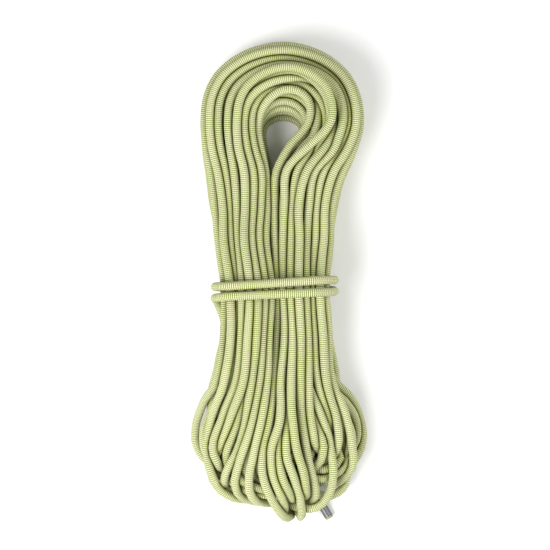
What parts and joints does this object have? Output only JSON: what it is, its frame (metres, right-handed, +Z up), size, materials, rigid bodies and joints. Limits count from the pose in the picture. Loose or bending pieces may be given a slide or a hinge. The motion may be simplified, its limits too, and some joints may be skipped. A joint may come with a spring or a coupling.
{
  "type": "dynamic climbing rope",
  "caption": "Kernmantle dynamic climbing rope, flaked into a long hank with an eye at its head and tied round the waist with its own end; both ends have a shrunk sleeve.",
  "frame": {"origin": "bottom centre of the hank's bounding box, on the surface that it lies on", "axes": "+Y along the hank from its foot to its head, +Z up out of the surface, +X to the right as seen from above"},
  "size_m": [0.202, 0.56, 0.1012],
  "materials": {
    "rope_sheath": "braided polyamide, pale grey and yellow-green",
    "core_strand": "twisted polyamide yarn, undyed",
    "end_sleeve": "heat-shrunk film, dark grey",
    "welded_tip": "melted polyamide",
    "id_tape": "plain marker tape"
  },
  "bodies": {
    "root": {"flaked_hank": "rope_sheath", "waist_wrap": "rope_sheath", "wrap_tail": "rope_sheath", "sheath_end_a": "rope_sheath", "sheath_end_b": "rope_sheath", "end_sleeve_a": "end_sleeve", "end_sleeve_b": "end_sleeve", "welded_tip_a": "welded_tip", "welded_tip_b": "welded_tip", "id_tape": "id_tape", "core_strand_01": "core_strand", "core_strand_02": "core_strand", "core_strand_03": "core_strand", "core_strand_04": "core_strand", "core_strand_05": "core_strand", "core_strand_06": "core_strand", "core_strand_07": "core_strand", "core_strand_08": "core_strand", "core_strand_09": "core_strand", "core_strand_10": "core_strand", "core_strand_11": "core_strand", "core_strand_12": "core_strand"}
  },
  "joints": []
}
